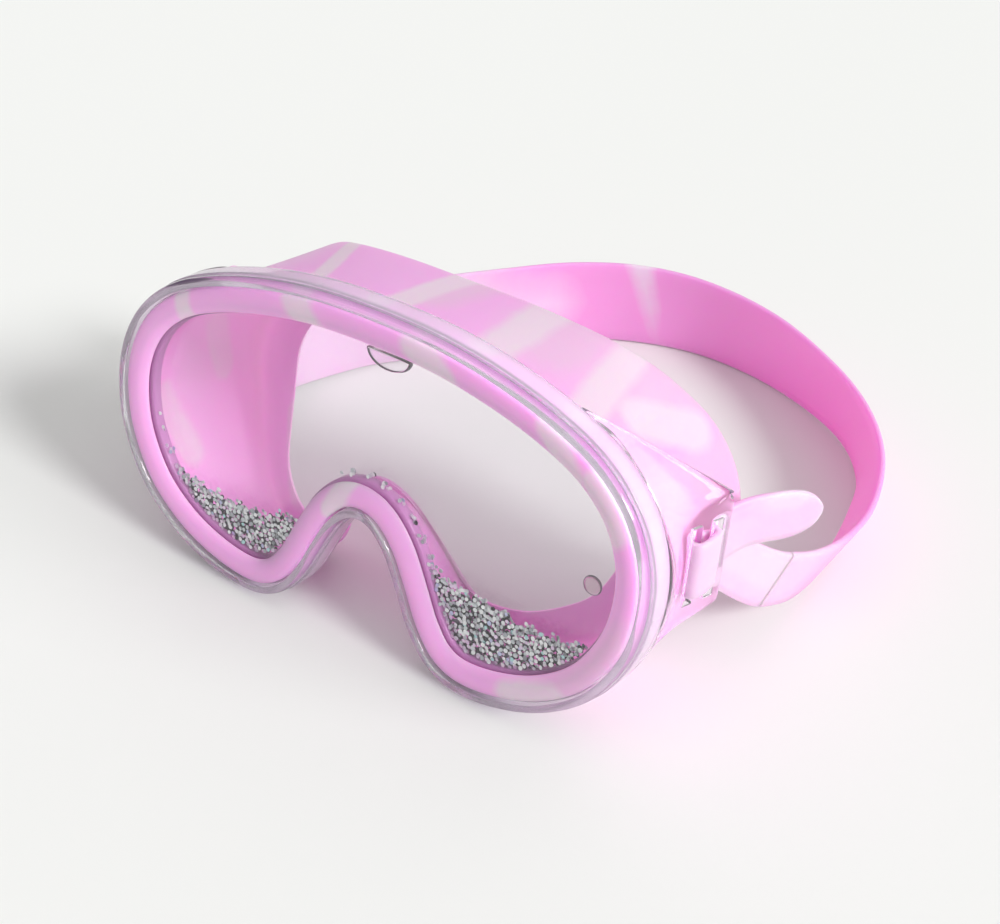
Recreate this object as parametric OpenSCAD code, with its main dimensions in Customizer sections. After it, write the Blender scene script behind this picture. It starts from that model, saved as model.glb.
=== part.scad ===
// One-lens children's swim goggles: a clear two-part frame clamps a soft skirt,
// which holds a sealed double lens with loose glitter, and a strap runs through
// two slotted wings.  Millimetres.  Z up, Y towards the back of the wearer's head.
//
// The mask is drawn upright in its own frame: X across, Y = depth behind the
// front face, Z = height above the two lower lobes.  on_table() then leans it.

/* [Frame] */
// Overall width of the clear frame
frame_w = 160; // [152:1:168]
// Depth of the clear frame from its front edge to its rear edge
frame_depth = 10; // [10:0.1:10.6]
// Depth of the front bezel ring, in front of the seam
bezel_depth = 3.4; // [3:0.1:4]
// How far the rear frame stands out around the skirt
frame_lip = 3.3; // [2.8:0.1:3.6]
// Backward lean of the mask when it stands on its lobes and skirt, in degrees
lean = 9.7; // [9:0.1:10.4]

/* [Lens] */
// Thickness of each lens pane
pane_t = 1.8; // [1.5:0.1:2]
// Gap between the panes, where the glitter lies
chamber_t = 3; // [2.4:0.1:3.4]
// Width of the soft bead that shows around the lens
bead_w = 6.3; // [5.8:0.1:6.6]
// Height of the top of the settled glitter above the lobes
glitter_level = 23; // [18:1:26]
// Diameter of the filling hole and its plug
plug_d = 4.6; // [4:0.1:5]

/* [Skirt] */
// Wall thickness of the soft skirt
skirt_t = 1.7; // [1.4:0.1:2]

/* [Strap] */
// Thickness of the strap
strap_t = 1.8; // [1.5:0.1:2]
// Width of the strap's narrow ends
end_w = 14.6; // [13:0.2:15]
// Outward splay of the wings, in degrees
splay = 12; // [11:1:13]

/* [Hidden] */

// All widths follow the frame's width
kx = frame_w / 160;

// The lens pocket's planes, as depths behind the front face
lens_front = 2.4;
chamber_front = lens_front + pane_t;
chamber_back = chamber_front + chamber_t;
lens_back = chamber_back + pane_t;

// Height of the strap's centre line where it goes through a wing
strap_v = 46;
// Where a wing's flat slotted plate starts: half width and depth
wing_x = 79.4 * kx;
wing_y = 18;
wing_t = 2.4;
// Slots and bars of a wing, as distances back from the start of its plate
front_slot = [2, 5];
rear_slot = [9, 12.2];
wing_end = 15.5;
slot_h = end_w + 6;

// The mask's lowest front edge, and the whole row, are moved along Y so that the
// origin is at the middle of the object's footprint on the table
mask_y = -84.1;
strap_y = -72.9;

// Half of the skirt, row by row from the top middle round to the nose:
// [frame x, frame z,  rear x, rear y, rear z,  opening x, opening y, opening z]
half_rows = [
    [0, 87, 0, 41, 86.8, 0, 30.5, 70],
    [18, 86.3, 18.5, 41.5, 86.5, 16, 30.5, 70],
    [35, 83.5, 34, 42.2, 85.3, 30, 31.6, 68.4],
    [50, 79.2, 44.5, 45.4, 82.2, 41, 33.6, 64],
    [62.4, 73.4, 53.6, 52, 75.4, 47, 36.5, 57.4],
    [71.4, 65, 64, 56, 67, 51, 39, 50],
    [76.5, 54.6, 73.6, 54, 57.6, 53, 41, 42],
    [77.8, 43, 77.8, 52, 44, 53.2, 41, 34],
    [75.4, 30.4, 76.5, 51, 31, 52, 39, 27],
    [68.2, 17.8, 69.8, 45.4, 18.8, 49, 35, 20.5],
    [57, 8.9, 57, 37.2, 9, 43.5, 30.5, 16.8],
    [44.5, 4.1, 44, 31, 3.8, 36.5, 26.5, 14.2],
    [33, 2.9, 32.6, 28.4, 2.85, 29, 24, 13.6],
    [25, 6, 24.9, 26.6, 6.8, 23.6, 22, 15.2],
    [19.2, 13.2, 19.8, 24, 14, 20, 20, 19.4],
    [14.7, 22.4, 15.8, 20, 23.4, 17, 17.5, 26],
    [10.3, 30.6, 11.5, 16.6, 31.6, 12.8, 15, 33.2],
    [5.2, 35.9, 6, 14.3, 38.4, 6.6, 13, 40.3],
    [0, 37.5, 0, 13.5, 40.6, 0, 12.4, 42.6]];
steps = 3;

// The strap's route from the right wing round to the left wing, on the table:
// [x, y, z of the centre line, half of the width, outward lean of the top edge]
strap_route = [
    [76.4, 27.6, 40.8, 7.3, 1], [77, 31, 38.6, 7.3, 2], [78, 35, 35.4, 7.3, 3],
    [79.8, 40.3, 30.4, 7.5, 5], [81.7, 46.9, 24.2, 7.9, 8], [83.2, 54, 18.8, 8.4, 11],
    [85.2, 65.5, 13.5, 9.2, 19], [86.2, 78, 11.4, 10, 26],
    [85.3, 92, 11.3, 11.2, 27], [80.4, 109, 12.4, 12.3, 17], [71, 125.6, 13.2, 12.9, -1],
    [54.6, 140.2, 13.4, 13.1, -9], [29, 152, 13.4, 13.1, -5], [3.5, 155.8, 13.4, 13.1, -1],
    [-17.5, 151.6, 13.5, 13.1, 3], [-35.4, 141.2, 13.5, 13.2, 2], [-50.4, 126, 13.5, 13.2, 2],
    [-65.4, 110, 12.8, 12.5, 9], [-78.6, 94.5, 11.7, 11.5, 17], [-85.6, 79.5, 11.1, 10.2, 25],
    [-85.8, 66, 13.5, 9.2, 19], [-83.2, 54, 18.8, 8.4, 11], [-81.7, 46.9, 24.2, 7.9, 8],
    [-79.8, 40.3, 30.4, 7.5, 5], [-78, 35, 35.4, 7.3, 3], [-77, 31, 38.6, 7.3, 2],
    [-76.4, 27.6, 40.8, 7.3, 1]];
// How many rows of the route belong to the plain run at each end
run_rows = 5;
strap_steps = 4;
// The free tail on each side, from behind the wing's rear bar
tail_route = [
    [79.5, 32.7, 45.2, 7.3, 0], [81.8, 38, 45.7, 7.3, 2], [85.2, 44.4, 45.1, 7.3, 4],
    [88.6, 50.4, 43.8, 7.1, 5], [91, 54.8, 42.6, 5.6, 5], [91.9, 56.7, 42, 2.6, 5]];

// ---- Curves -------------------------------------------------------------------

// A smooth curve through b and c, where a and d are their outer neighbours
function smooth(a, b, c, d, t) =
    0.5 * (2 * b + (c - a) * t + (2 * a - 5 * b + 4 * c - d) * t * t + (3 * b - a - 3 * c + d) * t * t * t);

// A closed smooth curve through every point of p, with n points to a stretch
function closed_curve(p, n) = let (m = len(p)) [
    for (i = [0 : m - 1], j = [0 : n - 1])
        smooth(p[(i + m - 1) % m], p[i], p[(i + 1) % m], p[(i + 2) % m], j / n)];

// An open smooth curve through every point of p
function open_curve(p, n) = let (m = len(p)) concat([
    for (i = [0 : m - 2], j = [0 : n - 1])
        smooth(i > 0 ? p[i - 1] : 2 * p[0] - p[1], p[i], p[i + 1],
               i < m - 2 ? p[i + 2] : 2 * p[m - 1] - p[m - 2], j / n)], [p[m - 1]]);

function unit(v) = v / norm(v);

// Both halves of the mask's rows, closed, with x scaled to the frame's width
function both_sides(h) = concat(
    [for (r = h) row_side(r, kx)],
    [for (i = [len(h) - 2 : -1 : 1]) row_side(h[i], -kx)]);
function row_side(r, s) = [r[0] * s, r[1], r[2] * s, r[3], r[4], r[5] * s, r[6], r[7]];

rows = closed_curve(both_sides(half_rows), steps);
count = len(rows);

// Unit normal of the frame's outline at row i, pointing away from the lens
function outward(i) = let (
    a = rows[(i + count - 1) % count], b = rows[(i + 1) % count], d = unit([b[0] - a[0], b[1] - a[1]]))
    [-d[1], d[0]];

// The frame's outline, moved out by off
function outline(off) = [for (i = [0 : count - 1]) [rows[i][0], rows[i][1]] + off * outward(i)];

// A point of the outline at row i, moved out by off, at depth y
function at(i, off, y) = let (n = outward(i)) [rows[i][0] + off * n[0], y, rows[i][1] + off * n[1]];

// ---- Solids from curves ---------------------------------------------------------

// A ring swept along closed loops: rings[i] is the section at station i
module swept_ring(rings) {
    m = len(rings);
    k = len(rings[0]);
    polyhedron(
        points = [for (r = rings, p = r) p],
        faces = [for (i = [0 : m - 1], j = [0 : k - 1])
            let (a = i * k, b = ((i + 1) % m) * k, j2 = (j + 1) % k)
            each [[a + j, a + j2, b + j], [a + j2, b + j2, b + j]]]);
}

// A bar swept along an open path, closed at both ends
module swept_bar(rings) {
    m = len(rings);
    k = len(rings[0]);
    polyhedron(
        points = [for (r = rings, p = r) p],
        faces = concat(
            [for (i = [0 : m - 2], j = [0 : k - 1])
                let (a = i * k, b = a + k, j2 = (j + 1) % k)
                each [[a + j, a + j2, b + j], [a + j2, b + j2, b + j]]],
            [[for (j = [k - 1 : -1 : 0]) j], [for (j = [0 : k - 1]) (m - 1) * k + j]]));
}

// A flat plate with an outline in the mask's own front view, from depth y0 to y1
module plate(y0, y1) {
    translate([0, y1, 0]) rotate([90, 0, 0]) linear_extrude(y1 - y0) children();
}

// Points along a strap from its route, moved to the row's own frame
function strap_line(route, n) =
    open_curve([for (r = route) [r[0] * kx, r[1] + strap_y, r[2], r[3], r[4]]], n);

// The strap's four corners at point i of a line
function strap_section(s, i) = let (
    m = len(s), a = s[max(i - 1, 0)], b = s[min(i + 1, m - 1)], c = s[i],
    along = unit([b[0] - a[0], b[1] - a[1], b[2] - a[2]]),
    out = unit(cross(along, [0, 0, 1])),
    up = cross(out, along),
    wide = (up * cos(c[4]) + out * sin(c[4])) * c[3],
    thick = unit(cross(wide, along)) * strap_t / 2,
    mid = [c[0], c[1], c[2]])
    [mid - wide - thick, mid + wide - thick, mid + wide + thick, mid - wide + thick];

// The stretch of a strap from point i0 to point i1 of its line
module ribbon(line, i0, i1) {
    swept_bar([for (i = [i0 : i1]) strap_section(line, i)]);
}

strap = strap_line(strap_route, strap_steps);
tail = strap_line(tail_route, 4);
run_end = run_rows * strap_steps;
strap_end = len(strap) - 1;

// Height that the lean adds, so that the lowest edge of the frame is on the table
lift = frame_depth * sin(lean) - min([for (p = outline(frame_lip)) p[1]]) * cos(lean);

// Stands the upright mask on the table: leaned back and moved to the origin
module on_table() {
    translate([0, mask_y, lift]) rotate([-lean, 0, 0]) children();
}

// Draws the children at a wing: X out of the plate, Y back along it, Z up
module at_wing() {
    translate([wing_x, wing_y, 0]) rotate([0, 0, -splay]) children();
}

module left_and_right() {
    children();
    mirror([1, 0, 0]) children();
}

// ---- Frame ----------------------------------------------------------------------

// A flat ring that follows the frame, from depth y0 to y1, between two offsets of its outline
module ring_plate(y0, y1, inner, outer) {
    plate(y0, y1) difference() {
        polygon(outline(outer));
        polygon(outline(inner));
    }
}

module front_bezel() {
    color([0.88, 0.86, 0.92, 0.5]) on_table() union() {
        // The narrow flat rim that stands in front of everything else
        ring_plate(0, 1, 0.9, 2);
        ring_plate(0.8, bezel_depth, 0.3, 2.9);
    }
}

// Rows of the frame's outline that a wing's root follows, top to bottom
wing_root = [for (i = [9 : 27]) i];
// How many of them meet the plate's slanting top edge; the rest meet its front edge
top_rows = 5;
// Height of the plate at its rear top corner, its front top corner and its front foot
plate_top = 63.5;
plate_front = 59;
plate_low = 31;

// Distance back along the plate where the web meets it, and the height there
function web_back(k) = k < top_rows ? (wing_end - 1.5) * (1 - k / top_rows) : 0;
function web_height(k) = k < top_rows
    ? plate_top + (plate_front - plate_top) * k / top_rows
    : plate_front + (plate_low - plate_front) * (k - top_rows) / (len(wing_root) - 1 - top_rows);

// A point of a wing's plate in the mask's own frame
function wing_point(out, back, z) =
    [wing_x + out * cos(splay) + back * sin(splay), wing_y - out * sin(splay) + back * cos(splay), z];

// The thin curved web from the frame's side to the wing's flat plate
module wing_web() {
    swept_bar([for (k = [0 : len(wing_root) - 1])
        let (i = wing_root[k], back = web_back(k) + 1, z = web_height(k))
        [at(i, frame_lip - wing_t, frame_depth - 2), at(i, frame_lip - 0.2, frame_depth - 2),
         wing_point(0, back, z), wing_point(0.5 - wing_t, back, z)]]);
}

// The flat slotted plate of a wing
module wing_plate() {
    rotate([90, 0, 90]) translate([0, 0, -wing_t]) linear_extrude(wing_t) difference() {
        hull() {
            translate([0, plate_low]) square([1, plate_front - plate_low]);
            translate([wing_end - 2, plate_top - 2]) circle(2, $fn = 40);
            translate([wing_end - 3, plate_low + 4]) circle(3, $fn = 40);
        }
        for (slot = [front_slot, rear_slot])
            translate([slot[0], strap_v - slot_h / 2]) square([slot[1] - slot[0], slot_h]);
    }
}

module rear_frame() {
    color([0.88, 0.86, 0.92, 0.5]) on_table() union() {
        ring_plate(bezel_depth, frame_depth, 0.3, frame_lip);
        left_and_right() {
            wing_web();
            at_wing() wing_plate();
        }
    }
}

// ---- Lens -----------------------------------------------------------------------

// Both panes sit in the skirt's groove
pane_edge = -2.7;

module front_lens() {
    color([0.92, 0.92, 0.95, 0.35]) on_table()
        plate(lens_front, chamber_front) polygon(outline(pane_edge));
}

// The filling hole, low on the right side of the back pane
module at_plug() {
    translate([62.5 * kx, 0, 40.5]) rotate([-90, 0, 0]) children();
}

module back_lens() {
    color([0.92, 0.92, 0.95, 0.35]) on_table() union() {
        difference() {
            plate(chamber_back, lens_back) polygon(outline(pane_edge));
            at_plug() translate([0, 0, chamber_back - 1]) cylinder(h = pane_t + 2, d = plug_d - 1, $fn = 48);
        }
        // Half-oval tab left by the mould, at the middle of the top edge
        plate(lens_back - 0.2, lens_back + 1)
            polygon([for (a = [180 : 10 : 360]) [6.4 * cos(a), 77 + 4.2 * sin(a)]]);
    }
}

module lens_spacer() {
    color([0.78, 0.42, 0.72]) on_table()
        ring_plate(chamber_front, chamber_back, -bead_w - 0.6, 2 - bead_w);
}

module fill_plug() {
    color([0.95, 0.9, 0.95, 0.6]) on_table() at_plug() union() {
        translate([0, 0, chamber_back + 0.2]) cylinder(h = pane_t - 0.1, d = plug_d - 1, $fn = 48);
        translate([0, 0, lens_back]) cylinder(h = 0.8, d = plug_d, $fn = 48);
    }
}

// The settled glitter in the two lobes of the chamber, as two closed beds
module glitter() {
    color([0.75, 0.76, 0.8]) on_table()
        plate(chamber_front + 0.1, chamber_back - 0.1) intersection() {
            polygon(outline(-bead_w - 0.8));
            translate([-80, 0]) square([160, glitter_level]);
        }
}

// ---- Skirt ----------------------------------------------------------------------

// The skirt's wall at row i, a share t of the way back, moved in by inset
function wall(i, t, inset) = let (
    r = rows[i], n = outward(i), waist = 4.2 * abs(n[0]) * sin(180 * t) * (abs(r[0]) > 60 ? 1 : 0.3))
    [r[0] + (r[2] - r[0]) * t - n[0] * (inset + waist),
     frame_depth + 1 + (r[3] - frame_depth - 1) * t,
     r[1] + (r[4] - r[1]) * t - n[1] * (inset + waist)];

// The face seal at row i, a share t of the way from the rear edge to the opening
function seal(i, t, forward) = let (r = rows[i]) [
    r[2] + (r[5] - r[2]) * t,
    r[3] + (r[6] - r[3]) * t * t - forward,
    r[4] + (r[7] - r[4]) * t];

module skirt() {
    color([0.93, 0.6, 0.86]) on_table() swept_ring([for (i = [0 : count - 1]) [
        // Outer wall, front to back
        at(i, 0, 1.3), at(i, 0, frame_depth - 0.2), wall(i, 0.08, 0.4), wall(i, 0.35, 0), wall(i, 0.7, 0),
        wall(i, 0.93, 0),
        // Round the rear edge and in along the face seal
        seal(i, 0.04, 0.6), seal(i, 0.2, 0), seal(i, 0.6, 0), seal(i, 1, 0),
        // Back along the seal's front side and the inner wall
        seal(i, 1, 1), seal(i, 0.6, 1.3), seal(i, 0.22, 2), wall(i, 0.86, skirt_t), wall(i, 0.66, skirt_t),
        wall(i, 0.33, skirt_t), wall(i, 0.05, skirt_t + 0.6),
        // Groove for the lens
        at(i, -5, lens_back + 1.2), at(i, -5.4, lens_back), at(i, -2.6, lens_back),
        at(i, -2.6, lens_front),
        // Rounded bead in front of the lens
        at(i, -bead_w, lens_front), at(i, 0.4 - bead_w, 1.7), at(i, -4.4, 0.9), at(i, -2.6, 0.55),
        at(i, -0.9, 0.75)]]);
}

// ---- Strap ----------------------------------------------------------------------

module head_strap() {
    color([0.94, 0.66, 0.9]) ribbon(strap, run_end, strap_end - run_end);
}

// The strap's loop round a wing's middle bar: [out, back, up] in the wing's own frame,
// out through the front slot from inside, over the bar and in through the rear slot
loop_path = [[-4.6, 8.4, 0], [-4.5, 6, 0], [-3.4, 4, 0], [-1.2, 3.4, 0], [0.7, 3.9, 0.2], [1.25, 5.6, 0.6],
             [1.25, 8.4, 1.4], [0.7, 10.1, 1.9], [-1.2, 10.7, 2.1], [-3, 11.5, 2.4], [-3.65, 13.2, 2.8],
             [-3.65, 15.2, 3.2]];

module strap_loop() {
    path = open_curve(loop_path, 3);
    m = len(path);
    function section(i) = let (
        d = unit(path[min(i + 1, m - 1)] - path[max(i - 1, 0)]), side = unit([d[1], -d[0], 0]) * strap_t / 2,
        up = [0, 0, end_w / 2], mid = path[i] + [0, 0, strap_v])
        [mid - up + side, mid + up + side, mid + up - side, mid - up - side];
    color([0.97, 0.84, 0.96]) at_wing() swept_bar([for (i = [0 : m - 1]) section(i)]);
}

module strap_loop_right() {
    on_table() strap_loop();
}

module strap_loop_left() {
    on_table() mirror([1, 0, 0]) strap_loop();
}

module strap_run_right() {
    color([0.96, 0.8, 0.95]) ribbon(strap, 0, run_end);
}

module strap_run_left() {
    color([0.96, 0.8, 0.95]) ribbon(strap, strap_end - run_end, strap_end);
}

module strap_tail_right() {
    color([0.97, 0.86, 0.97]) ribbon(tail, 0, len(tail) - 1);
}

module strap_tail_left() {
    mirror([1, 0, 0]) strap_tail_right();
}

front_bezel();
rear_frame();
front_lens();
back_lens();
lens_spacer();
fill_plug();
glitter();
skirt();
head_strap();
strap_run_right();
strap_run_left();
strap_loop_right();
strap_loop_left();
strap_tail_right();
strap_tail_left();
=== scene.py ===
import math

import bpy
import numpy as np
from mathutils import Matrix, Vector


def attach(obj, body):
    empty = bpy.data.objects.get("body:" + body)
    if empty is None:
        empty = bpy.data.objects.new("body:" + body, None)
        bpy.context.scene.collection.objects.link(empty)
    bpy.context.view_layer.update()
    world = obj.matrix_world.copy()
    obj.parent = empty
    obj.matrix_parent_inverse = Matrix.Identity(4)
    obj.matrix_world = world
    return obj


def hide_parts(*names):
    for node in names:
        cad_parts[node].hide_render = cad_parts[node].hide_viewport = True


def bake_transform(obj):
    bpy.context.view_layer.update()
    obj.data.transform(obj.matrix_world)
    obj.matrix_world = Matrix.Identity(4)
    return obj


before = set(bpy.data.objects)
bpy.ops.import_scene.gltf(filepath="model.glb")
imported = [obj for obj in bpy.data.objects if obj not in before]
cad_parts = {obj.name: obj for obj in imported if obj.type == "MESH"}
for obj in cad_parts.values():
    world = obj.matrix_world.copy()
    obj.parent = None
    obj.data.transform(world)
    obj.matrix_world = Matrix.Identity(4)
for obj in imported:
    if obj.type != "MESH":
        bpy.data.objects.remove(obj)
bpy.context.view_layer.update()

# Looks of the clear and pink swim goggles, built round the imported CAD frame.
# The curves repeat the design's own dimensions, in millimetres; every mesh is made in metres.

MM = 0.001

# ---- The design's dimensions, in millimetres -------------------------------------

FRAME_DEPTH = 10.0
BEZEL_DEPTH = 3.4
FRAME_LIP = 3.3
LEAN = math.radians(9.7)
MASK_Y = -84.1
STRAP_Y = -72.9
LENS_FRONT = 2.4
CHAMBER_FRONT = 4.2
CHAMBER_BACK = 7.2
LENS_BACK = 9.0
BEAD = 6.3
SKIRT = 1.7
WAIST = 4.2
CLEAR = 0.05
STRAP = 1.8
END_HALF = 7.3
STRAP_V = 46.0
WING_X = 79.4
WING_Y = 18.0
WING_T = 2.4
WING_END = 15.5
SPLAY = math.radians(12)
PLATE_TOP = 63.5
PLATE_FRONT = 59.0
PLATE_LOW = 31.0
SLOTS = ((2.0, 5.0), (9.0, 12.2))
SLOT_H = 20.6
TAB = (6.4, 4.2)
TAB_V = 77.0
PLUG_AT = (62.5, 40.5)
PLUG_R = 2.3

# Half of the skirt from the top middle round to the nose: frame outline x, z,
# rear edge x, depth, z and face opening x, depth, z
HALF_ROWS = [
    [0, 87, 0, 41, 86.8, 0, 30.5, 70],
    [18, 86.3, 18.5, 41.5, 86.5, 16, 30.5, 70],
    [35, 83.5, 34, 42.2, 85.3, 30, 31.6, 68.4],
    [50, 79.2, 44.5, 45.4, 82.2, 41, 33.6, 64],
    [62.4, 73.4, 53.6, 52, 75.4, 47, 36.5, 57.4],
    [71.4, 65, 64, 56, 67, 51, 39, 50],
    [76.5, 54.6, 73.6, 54, 57.6, 53, 41, 42],
    [77.8, 43, 77.8, 52, 44, 53.2, 41, 34],
    [75.4, 30.4, 76.5, 51, 31, 52, 39, 27],
    [68.2, 17.8, 69.8, 45.4, 18.8, 49, 35, 20.5],
    [57, 8.9, 57, 37.2, 9, 43.5, 30.5, 16.8],
    [44.5, 4.1, 44, 31, 3.8, 36.5, 26.5, 14.2],
    [33, 2.9, 32.6, 28.4, 2.85, 29, 24, 13.6],
    [25, 6, 24.9, 26.6, 6.8, 23.6, 22, 15.2],
    [19.2, 13.2, 19.8, 24, 14, 20, 20, 19.4],
    [14.7, 22.4, 15.8, 20, 23.4, 17, 17.5, 26],
    [10.3, 30.6, 11.5, 16.6, 31.6, 12.8, 15, 33.2],
    [5.2, 35.9, 6, 14.3, 38.4, 6.6, 13, 40.3],
    [0, 37.5, 0, 13.5, 40.6, 0, 12.4, 42.6],
]

# The strap from the right wing round to the left wing:
# x, y, z of the centre line, half of the width, outward lean of the top edge
STRAP_ROUTE = [
    [76.4, 27.6, 40.8, 7.3, 1], [77, 31, 38.6, 7.3, 2], [78, 35, 35.4, 7.3, 3],
    [79.8, 40.3, 30.4, 7.5, 5], [81.7, 46.9, 24.2, 7.9, 8], [83.2, 54, 18.8, 8.4, 11],
    [85.2, 65.5, 13.5, 9.2, 19], [86.2, 78, 11.4, 10, 26],
    [85.3, 92, 11.3, 11.2, 27], [80.4, 109, 12.4, 12.3, 17], [71, 125.6, 13.2, 12.9, -1],
    [54.6, 140.2, 13.4, 13.1, -9], [29, 152, 13.4, 13.1, -5], [3.5, 155.8, 13.4, 13.1, -1],
    [-17.5, 151.6, 13.5, 13.1, 3], [-35.4, 141.2, 13.5, 13.2, 2], [-50.4, 126, 13.5, 13.2, 2],
    [-65.4, 110, 12.8, 12.5, 9], [-78.6, 94.5, 11.7, 11.5, 17], [-85.6, 79.5, 11.1, 10.2, 25],
    [-85.8, 66, 13.5, 9.2, 19], [-83.2, 54, 18.8, 8.4, 11], [-81.7, 46.9, 24.2, 7.9, 8],
    [-79.8, 40.3, 30.4, 7.5, 5], [-78, 35, 35.4, 7.3, 3], [-77, 31, 38.6, 7.3, 2],
    [-76.4, 27.6, 40.8, 7.3, 1],
]
RUN_ROWS = 5
TAIL_ROUTE = [
    [79.5, 32.7, 45.2, 7.3, 0], [81.8, 38, 45.7, 7.3, 2], [85.2, 44.4, 45.1, 7.3, 4],
    [88.6, 50.4, 43.8, 7.3, 5], [91, 54.8, 42.6, 7.3, 5], [91.9, 56.7, 42, 7.3, 5],
]
# The loop round a wing's middle bar: out, back and up in the wing's own frame
LOOP_PATH = [
    [-4.6, 8.4, 0], [-4.5, 6, 0], [-3.4, 4, 0], [-1.2, 3.4, 0], [0.7, 3.9, 0.2], [1.25, 5.6, 0.6],
    [1.25, 8.4, 1.4], [0.7, 10.1, 1.9], [-1.2, 10.7, 2.1], [-3, 11.5, 2.4], [-3.65, 13.2, 2.8],
    [-3.65, 15.2, 3.2],
]

# ---- Curves ------------------------------------------------------------------------


def smooth(a, b, c, d, t):
    """A smooth curve through b and c, where a and d are their outer neighbours."""
    cubic = (3 * b - a - 3 * c + d) * t ** 3
    return 0.5 * (2 * b + (c - a) * t + (2 * a - 5 * b + 4 * c - d) * t * t + cubic)


def closed_curve(points, steps):
    """A smooth closed curve through the points, with a number of steps between neighbours."""
    p = np.array(points, float)
    m = len(p)
    return np.array([
        smooth(p[i - 1], p[i], p[(i + 1) % m], p[(i + 2) % m], j / steps)
        for i in range(m) for j in range(steps)
    ])


def open_curve(points, steps):
    """A smooth curve from the first point to the last."""
    p = np.array(points, float)
    p = np.vstack([2 * p[0] - p[1], p, 2 * p[-1] - p[-2]])
    line = [
        smooth(p[i - 1], p[i], p[i + 1], p[i + 2], j / steps)
        for i in range(1, len(p) - 2) for j in range(steps)
    ]
    return np.array(line + [p[-2]])


def unit(v):
    """Vectors scaled to length one."""
    return v / np.linalg.norm(v, axis=-1, keepdims=True)


def along_line(p):
    """The direction of travel at each point of a line."""
    d = np.empty_like(p)
    d[1:-1] = p[2:] - p[:-2]
    d[0] = 4 * p[1] - 3 * p[0] - p[2]
    d[-1] = 3 * p[-1] - 4 * p[-2] + p[-3]
    return unit(d)


def mirrored(p):
    """Points moved to the other side of the middle plane."""
    return p * (-1, 1, 1)


def both_sides(half):
    """The rows of the right half and their mirror images, as one closed round."""
    sign = np.array([-1, 1, -1, 1, 1, -1, 1, 1])
    h = np.array(half, float)
    return np.vstack([h, h[-2:0:-1] * sign])


class Outline:
    """The mask's rows at one fineness, with the outline's outward normals."""

    def __init__(self, steps):
        self.rows = closed_curve(both_sides(HALF_ROWS), steps)
        along = np.roll(self.rows[:, :2], -1, 0) - np.roll(self.rows[:, :2], 1, 0)
        along = unit(along)
        self.out = np.stack([-along[:, 1], along[:, 0]], 1)

    def at(self, off, depth):
        """The outline moved out by off, at a depth behind the front face."""
        flat = self.rows[:, :2] + off * self.out
        return np.stack([flat[:, 0], np.full(len(flat), float(depth)), flat[:, 1]], 1)

    def wall(self, t, inset):
        """The skirt's wall, a share t of the way back, moved in by inset."""
        r = self.rows
        share = np.where(abs(r[:, 0]) > 60, 1.0, 0.3)
        waist = WAIST * abs(self.out[:, 0]) * math.sin(math.pi * t) * share
        flat = r[:, :2] + (r[:, [2, 4]] - r[:, :2]) * t - self.out * (inset + waist)[:, None]
        depth = FRAME_DEPTH + 1 + (r[:, 3] - FRAME_DEPTH - 1) * t
        return np.stack([flat[:, 0], depth, flat[:, 1]], 1)

    def seal(self, t, forward):
        """The face seal, a share t of the way from the rear edge to the opening."""
        r = self.rows
        p = r[:, 2:5] + (r[:, 5:8] - r[:, 2:5]) * t
        p[:, 1] = r[:, 3] + (r[:, 6] - r[:, 3]) * t * t - forward
        return p


CAD_OUTLINE = Outline(3)
LIFT = FRAME_DEPTH * math.sin(LEAN) - CAD_OUTLINE.at(FRAME_LIP, 0)[:, 2].min() * math.cos(LEAN)


def on_table(p):
    """Points in the mask's upright frame, moved to the row's frame, still in millimetres."""
    p = np.asarray(p, float)
    c, s = math.cos(LEAN), math.sin(LEAN)
    y = MASK_Y + p[..., 1] * c + p[..., 2] * s
    z = LIFT - p[..., 1] * s + p[..., 2] * c
    return np.stack([p[..., 0], y, z], -1)


def at_wing(p):
    """Points in the right wing's own frame (out, back, up), moved to the mask's upright frame."""
    p = np.asarray(p, float)
    c, s = math.cos(SPLAY), math.sin(SPLAY)
    x = WING_X + p[..., 0] * c + p[..., 1] * s
    y = WING_Y - p[..., 0] * s + p[..., 1] * c
    return np.stack([x, y, p[..., 2]], -1)


# ---- Meshes ------------------------------------------------------------------------


def new_piece(name, points_mm, faces, material, flat=False):
    """A new mesh object, smooth shaded unless flat."""
    mesh = bpy.data.meshes.new(name)
    mesh.from_pydata([tuple(p) for p in np.asarray(points_mm) * MM], [], faces)
    mesh.validate()
    piece = bpy.data.objects.new(name, mesh)
    bpy.context.scene.collection.objects.link(piece)
    mesh.materials.append(material)
    if not flat:
        mesh.polygons.foreach_set("use_smooth", [True] * len(mesh.polygons))
    return piece


def set_values(piece, name, values):
    """Stores one number for each vertex under an attribute's name."""
    layer = piece.data.attributes.new(name, "FLOAT", "POINT")
    layer.data.foreach_set("value", np.asarray(values, np.float32))


def outward_faces(piece):
    """Turns the faces of a closed piece outwards."""
    mesh = piece.data
    mesh.calc_loop_triangles()
    volume = 0.0
    for t in mesh.loop_triangles:
        a, b, c = (mesh.vertices[i].co for i in t.vertices)
        volume += a.dot(b.cross(c))
    if volume < 0:
        mesh.flip_normals()
    return piece


def subdivided(piece, levels):
    """Smooths a piece by subdivision."""
    modifier = piece.modifiers.new("smooth", "SUBSURF")
    modifier.levels = levels
    modifier.render_levels = levels
    return applied(piece)


def applied(piece):
    """Replaces a piece's mesh with the result of its modifiers."""
    graph = bpy.context.evaluated_depsgraph_get()
    graph.update()
    mesh = bpy.data.meshes.new_from_object(piece.evaluated_get(graph))
    mesh.name = piece.name
    piece.modifiers.clear()
    piece.data = mesh
    return piece


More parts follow.
